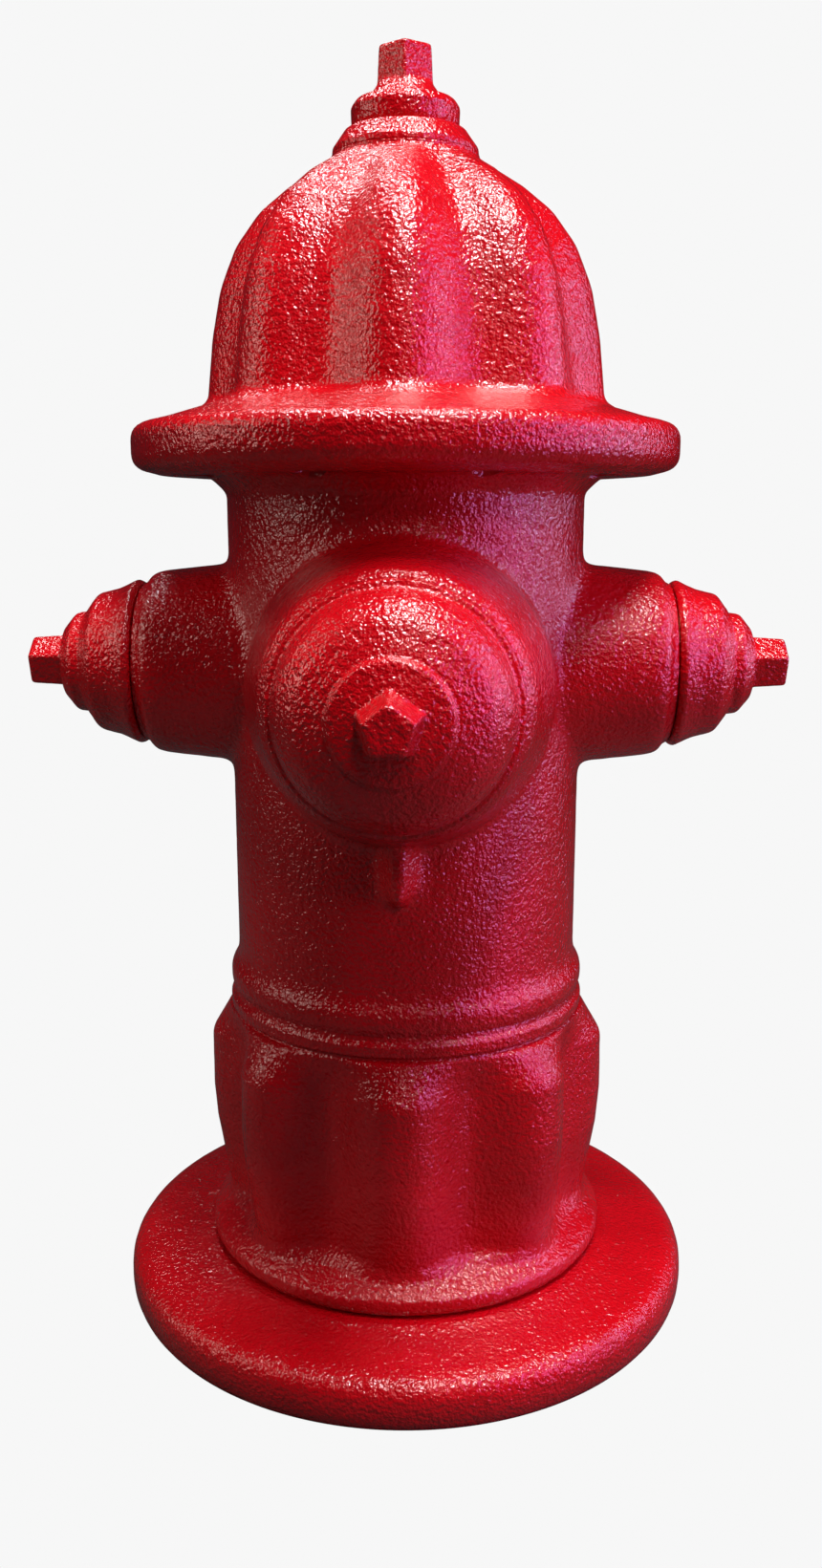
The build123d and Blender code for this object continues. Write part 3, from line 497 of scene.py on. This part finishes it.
def make_lower_barrel():
    """Skirt with eight ridges and concave panels, its foot ring and the lower bead."""
    inside = [(JOINT_R, 219.95, 0.1), (JOINT_R, 219, 0.1), (BORE_R, 219, 0.5), (BORE_R, 150, 8),
              (84, 124, 1), (72, 124, 1), (72, 104, 1), (84, 92, 4), (84, 41.5, 0.5)]
    bead = [(117.8, 204.0, 2), (117.8, 205.4, 2), (120.5, 207, 2.6), (120.5, 213.5, 2.6),
            (118.0, 216.6, 1.6), (117.4, 219.95, 0.2)]
    foot = [(134.5, 41.5, 2), (137, 46, 5), (136.6, 52, 5)]
    ridge = foot + [(127, 59, 6), (125.5, 66, 8), (134, 115, 60),
                    (136, 140, 60), (135.6, 180, 16), (122, 203, 6)] + bead
    panel = foot + [(120, 60.5, 14), (111.5, 69, 18), (113.5, 112, 60),
                    (114.2, 140, 60), (114.0, 180, 16), (119.0, 202, 5)] + bead
    skirt = turned("painted_lower_barrel", ridge + inside, panel + inside, ridge_mix, segments=432)
    pebble(skirt, where=skin(beyond=104))
    cut(skirt, drill_back(DRAIN_R, 70, 150, DRAIN_Z))
    place(skirt, "hydrant", "lower_barrel")


def make_upper_barrel():
    """Barrel with three nozzle bosses and the lug under the pumper boss, blended together."""
    barrel = turned("painted_upper_barrel", [
        (60, 212, 0), (117.4, 212, 0), (117.4, 219.5, 1), (120.0, 224, 3.5), (120.0, 233, 5),
        (115.8, 240, 4), (114.6, 247, 4), (115.2, 546, 3), (126, 556.5, 12), (147.8, 556.5, 1),
        (147.8, 577, 0.5), (60, 577, 0),
    ])
    boss = [(20, 90, 0), (68, 90, 6), (60.5, 158, 3), (58.8, 165, 5), (53.4, 168.8, 2), (52.6, 169.4, 1),
            (52.6, 172.8, 0.3), (20, 172.8, 0)]
    for direction in ((1, 0, 0), (-1, 0, 0)):
        side = turned("boss", boss, segments=160)
        lay_along(side, direction, HOSE_Z)
        merge(barrel, side)
    front = turned("boss", [(20, 60, 0), (95, 60, 6), (91.5, 112, 24), (82.5, 142, 30), (78.6, 157, 10),
                            (75.5, 164.8, 5), (72.8, 165, 1), (72.8, 168.8, 0.6), (20, 168.8, 0)],
                   segments=224)
    lay_along(front, (0, -1, 0), PUMPER_Z)
    merge(barrel, front)
    merge(barrel, lug())

    def outer(points):
        """1 on the outside and 0 on the two joint faces and inside."""
        away = np.hypot(points[:, 0], points[:, 1])
        clear = 1 - smooth_step(points[:, 2], 554, 556)
        return clear * (away > 101)

    def creases(points):
        """1 where a boss or the lug meets the barrel, fading out over a few millimetres."""
        away = np.abs(np.hypot(points[:, 0], points[:, 1]) - 115)
        hose = np.abs(np.hypot(points[:, 1], points[:, 2] - HOSE_Z) - 67)
        pumper = np.abs(np.hypot(points[:, 0], points[:, 2] - PUMPER_Z) - 96)
        pumper = np.where(points[:, 1] < -40, pumper, 99)
        beside = np.abs(np.abs(points[:, 0]) - 13) + np.where(
            (points[:, 1] < 0) & (points[:, 2] > 296) & (points[:, 2] < 345), 0, 99)
        near = np.minimum(np.maximum(away, np.minimum(hose, pumper)), np.maximum(away, beside) + 5)
        return 1 - smooth_step(near, 6, 15)

    soften(barrel, 2.0, 5, outer)
    soften(barrel, None, 45, creases)
    pebble(barrel, where=outer)
    hollow = turned("hollow", [
        (0, 200, 0), (130, 200, 0), (130, 220.05, 0), (JOINT_R, 220.05, 0), (JOINT_R, 221, 0),
        (BORE_R, 221, 0), (BORE_R, 234, 0), (100.5, 234, 0), (100.5, 242, 0), (BORE_R, 242, 0),
        (BORE_R, 585, 0), (0, 585, 0),
    ], segments=192)
    hoses = turned("hoses", [
        (0, -200, 0), (INSERT_R, -200, 0), (INSERT_R, -169, 0), (45, -169, 0), (45, 169, 0),
        (INSERT_R, 169, 0), (INSERT_R, 200, 0), (0, 200, 0),
    ], segments=128)
    lay_along(hoses, (1, 0, 0), HOSE_Z)
    pumper = turned("pumper", [(0, 60, 0), (67, 60, 0), (67, 165, 0), (71.1, 165, 0), (71.1, 200, 0),
                               (0, 200, 0)], segments=160)
    lay_along(pumper, (0, -1, 0), PUMPER_Z)
    cut(barrel, hollow, hoses, pumper, bolt_holes(BONNET_BOLTS_R, 540, 566.5, 580))
    place(barrel, "hydrant", "upper_barrel")


def lug():
    """Short vee rib with a rounded lower end, running up into the pumper boss."""
    half, bottom, top, near, far = 19.0, 294.0, 400.0, -100.0, -133.5
    path = [(-half, top)]
    for k in range(13):
        angle = math.pi + k * math.pi / 12
        path.append((half * math.cos(angle), bottom + half + half * math.sin(angle)))
    path.append((half, top))
    points = [(x * MM, near * MM, z * MM) for x, z in path]
    points += [(x * 0.2 * MM, far * MM, (z + 15 if z < top else z) * MM) for x, z in path]
    number = len(path)
    faces = [tuple(range(number)), tuple(range(2 * number - 1, number - 1, -1))]
    faces += [(k, (k + 1) % number, number + (k + 1) % number, number + k) for k in range(number)]
    mesh = bpy.data.meshes.new("lug")
    mesh.from_pydata(points, [], faces)
    piece = bpy.data.objects.new("lug", mesh)
    bpy.context.collection.objects.link(piece)
    clean(piece)
    return piece


def make_bonnet():
    """Dome with eight soft ridges on a wide rounded brim, hollow inside."""
    inside = [(46, 749, 0.5), (36, 749, 0.5), (36, 734.2, 0.5), (31, 734.2, 0.5), (31, 716, 0.5),
              (22.4, 716, 0.5), (22.4, 700, 0.5), (44, 700, 2), (44, 728, 3), (60, 719, 20),
              (84, 690, 25), (97, 650, 40), (100, 612, 20), (100, 578.5, 1), (148.1, 578.5, 0.5),
              (148.1, 557, 0.5)]
    brim = [(157, 557.2, 12), (BRIM_R, 561.5, 12), (BRIM_R, 586.5, 12), (156, 590.6, 24)]
    ridge = brim + [(133.5, 598.3, 9), (126.6, 604.5, 10), (122.8, 641, 90), (116.8, 672, 60),
                    (106.5, 697, 45), (91.5, 717, 35), (72.5, 732, 30), (52, 744, 8), (46, 747, 1)]
    flute = brim + [(131.5, 598.0, 8), (111.5, 603.2, 7), (106.6, 641, 90), (100.8, 671, 60),
                    (91.6, 694, 45), (78.6, 713, 35), (62.5, 729, 30), (49.0, 743.0, 6), (46, 747, 1)]
    bonnet = turned("painted_bonnet", ridge + inside, flute + inside, ridge_mix, segments=432)
    pebble(bonnet, where=bonnet_outside)
    place(bonnet, "hydrant", "bonnet")


def bonnet_outside(points):
    """1 on the bonnet's painted outside."""
    away = np.hypot(points[:, 0], points[:, 1])
    height = points[:, 2]
    inner = 103 * np.sqrt(np.clip(1 - ((height - 600) / 160) ** 2, 0, 1)) - 4
    painted = (height > 557.6) & ((away > 149) | (height > 601)) & (away > 45.5) & (away > inner)
    return painted.astype(float)


def make_hold_down_nut():
    """Low rounded ring at the top of the dome."""
    ring = turned("painted_hold_down_nut", [
        (19.5, 734.3, 0.3), (35.95, 734.3, 0.3), (35.95, 749.1, 0), (45.6, 749.1, 1.0), (45.2, 753.0, 3),
        (41.5, 758.0, 4), (37.5, 763.6, 2.5), (19.5, 763.6, 0.5),
    ], segments=192)
    pebble(ring, 0.16, skin(beyond=36.5))
    place(ring, "hydrant", "hold_down_nut")


def make_operating_nut():
    """Rain collar with a pentagon nut above and the thrust flange and threaded barrel below."""
    nut = turned("painted_operating_nut", [
        (14.3, 725, 0.3), (14.3, 640, 0.5), (22, 640, 1), (22, 716.3, 0.3), (30, 716.3, 0.5),
        (30, 731, 0.5), (19.2, 731, 0.3), (19.2, 764, 0.3), (31.6, 764, 1.5), (33.4, 767, 3),
        (33.8, 776.5, 4), (30.5, 781.0, 3.5), (22.5, 783.0, 5), (18.6, 788.5, 4), (16.5, 791, 1),
        (0.0, 791, 0), (0.0, 725, 0),
    ], segments=192)
    add_nut(nut, 780, TOP_Z, 18.0)
    soften(nut, 0.85, 3, skin(above=764.8))
    pebble(nut, 0.14, skin(above=765))
    place(nut, "operating_nut_body", "operating_nut")


def make_hose_cap(side, direction):
    """Stepped cap of a hose nozzle: flange, tapering body, small boss and pentagon nut."""
    cap = turned(f"painted_{side}_hose_cap", [
        (39.35, 202.6, 0.3), (39.35, 173, 0.5), (52.5, 173, 1.8), (54.6, 176.6, 2.6), (50.6, 185, 3),
        (48.8, 189.5, 5), (45.6, 202.2, 7), (36.0, 209.4, 3), (33.6, 210.0, 1.2), (32.6, 218.0, 4.5),
        (23.5, 225.6, 3), (16.0, 227, 1), (0.0, 227, 0), (0.0, 202.6, 0),
    ], segments=192)
    add_nut(cap, 222, TIP, 17.6)
    soften(cap, 1.0, 3, skin(205, 41))
    pebble(cap, 0.18, skin(205, 42))
    lay_along(cap, direction, HOSE_Z)
    place(cap, f"{side}_cap_body", f"{side}_hose_cap")


def make_pumper_cap():
    """Large front cap: flange ring, crowned face, small raised boss and pentagon nut."""
    cap = turned("painted_pumper_cap", [
        (60, 193.6, 0.3), (60, 189.2, 0.3), (64, 189.2, 0.3), (64, 170, 0.5), (70.0, 170, 1.2),
        (71.4, 173, 2), (71.0, 178.4, 2.2), (67.0, 178.9, 0.8), (66.2, 181, 0.8), (66.4, 187, 8),
        (62.6, 198.5, 18), (52.8, 210, 20), (36.8, 217.6, 5), (34.0, 218.2, 1.6), (33.2, 223.4, 3.6),
        (22.0, 226.0, 4), (16.0, 227, 1), (0.0, 227, 0), (0.0, 193.6, 0),
    ], segments=224)
    add_nut(cap, 222, TIP, 17.4, flare=0.12)
    soften(cap, 1.0, 2, skin(196, 66))
    pebble(cap, 0.2, skin(196, 67))
    lay_along(cap, (0, -1, 0), PUMPER_Z)
    place(cap, "pumper_cap_body", "pumper_cap")


# ------------------------------------------------------------------ stage, light and camera
def add_light(name, place_at, aim, size, power, colour=(1, 1, 1)):
    """Soft rectangular light at a place, aimed at a point."""
    data = bpy.data.lights.new(name, "AREA")
    data.shape = "RECTANGLE"
    data.size, data.size_y = size
    data.energy = power
    data.color = colour
    light = bpy.data.objects.new(name, data)
    light.location = place_at
    light.rotation_mode = "QUATERNION"
    light.rotation_quaternion = (Vector(aim) - Vector(place_at)).to_track_quat("-Z", "Y")
    bpy.context.collection.objects.link(light)


def make_stage():
    """Pale floor, pale surroundings for the camera and dimmer ones for the reflections."""
    half = 6.0
    mesh = bpy.data.meshes.new("floor")
    mesh.from_pydata([(-half, -half, 0), (half, -half, 0), (half, half, 0), (-half, half, 0)], [],
                     [(0, 1, 2, 3)])
    floor = bpy.data.objects.new("floor", mesh)
    bpy.context.collection.objects.link(floor)
    made, nodes, links, shader = material("pale_floor", (0.035, 0.035, 0.035), 0.8)
    greys = [(0.3, (0.03, 0.03, 0.03)), (0.7, (0.04, 0.04, 0.04))]
    links.new(ramp(nodes, links, noise(nodes, links, 3.0), greys), shader.inputs["Base Color"])
    paper = nodes.new("ShaderNodeEmission")
    paper.inputs["Color"].default_value = PALE
    sight = nodes.new("ShaderNodeLightPath")
    surface = nodes.new("ShaderNodeMixShader")
    links.new(sight.outputs["Is Camera Ray"], surface.inputs["Fac"])
    links.new(shader.outputs["BSDF"], surface.inputs[1])
    links.new(paper.outputs["Emission"], surface.inputs[2])
    links.new(surface.outputs["Shader"], nodes["Material Output"].inputs["Surface"])
    mesh.materials.append(made)
    world = bpy.data.worlds.new("studio")
    bpy.context.scene.world = world
    world.use_nodes = True
    nodes, links = world.node_tree.nodes, world.node_tree.links
    seen = nodes.new("ShaderNodeBackground")
    seen.inputs["Color"].default_value = PALE
    dim = nodes["Background"]
    dim.inputs["Color"].default_value = (0.016, 0.014, 0.018, 1)
    dim.inputs["Strength"].default_value = 1.0
    ray = nodes.new("ShaderNodeLightPath")
    both = nodes.new("ShaderNodeMixShader")
    links.new(ray.outputs["Is Camera Ray"], both.inputs["Fac"])
    links.new(dim.outputs["Background"], both.inputs[1])
    links.new(seen.outputs["Background"], both.inputs[2])
    links.new(both.outputs["Shader"], nodes["World Output"].inputs["Surface"])


def make_camera():
    """Camera at the viewing angle: a little above the middle, close, looking slightly down."""
    distance, height, around = 0.887, 0.533, math.radians(2.0)
    tilt, focal_px, long_side_px = math.radians(11.41), 1398.0, 1641.0
    data = bpy.data.cameras.new("camera")
    data.sensor_width = 36.0
    data.lens = data.sensor_width * focal_px / long_side_px
    camera = bpy.data.objects.new("camera", data)
    camera.location = (distance * math.sin(around), -distance * math.cos(around), height)
    camera.rotation_euler = (math.radians(90) - tilt, 0, around + math.radians(-0.22))
    bpy.context.collection.objects.link(camera)
    bpy.context.scene.camera = camera


finish_nodes()
make_base_flange()
make_lower_barrel()
make_upper_barrel()
make_bonnet()
make_hold_down_nut()
make_operating_nut()
make_hose_cap("left", (-1, 0, 0))
make_hose_cap("right", (1, 0, 0))
make_pumper_cap()
make_stage()
add_light("overhead", (0.3, -0.35, 2.5), (0, 0, 0.2), (0.7, 0.7), 46, (1.0, 0.98, 0.95))
add_light("softbox_back", (-0.51, 0.62, 2.08), (0, 0, 0.7), (0.4, 0.3), 9)
add_light("spot_front", (0.3, -0.8, 2.0), (0, 0, 0.3), (0.2, 0.2), 11)
add_light("violet_panel", (1.15, -0.55, 0.7), (0, 0, 0.45), (0.25, 1.3), 8, (0.85, 0.33, 1.0))
add_light("blue_panel", (1.3, 0.25, 0.8), (0, 0, 0.45), (0.2, 1.2), 7, (0.60, 0.55, 1.0))
add_light("left_panel", (-1.5, -0.3, 1.1), (0, 0, 0.45), (0.5, 1.2), 7, (1.0, 0.80, 0.72))
add_light("front_fill", (0.5, -1.9, 1.6), (0, 0, 0.4), (0.25, 0.25), 4, (1.0, 0.95, 0.92))
bpy.context.scene.view_settings.view_transform = "Standard"
make_camera()
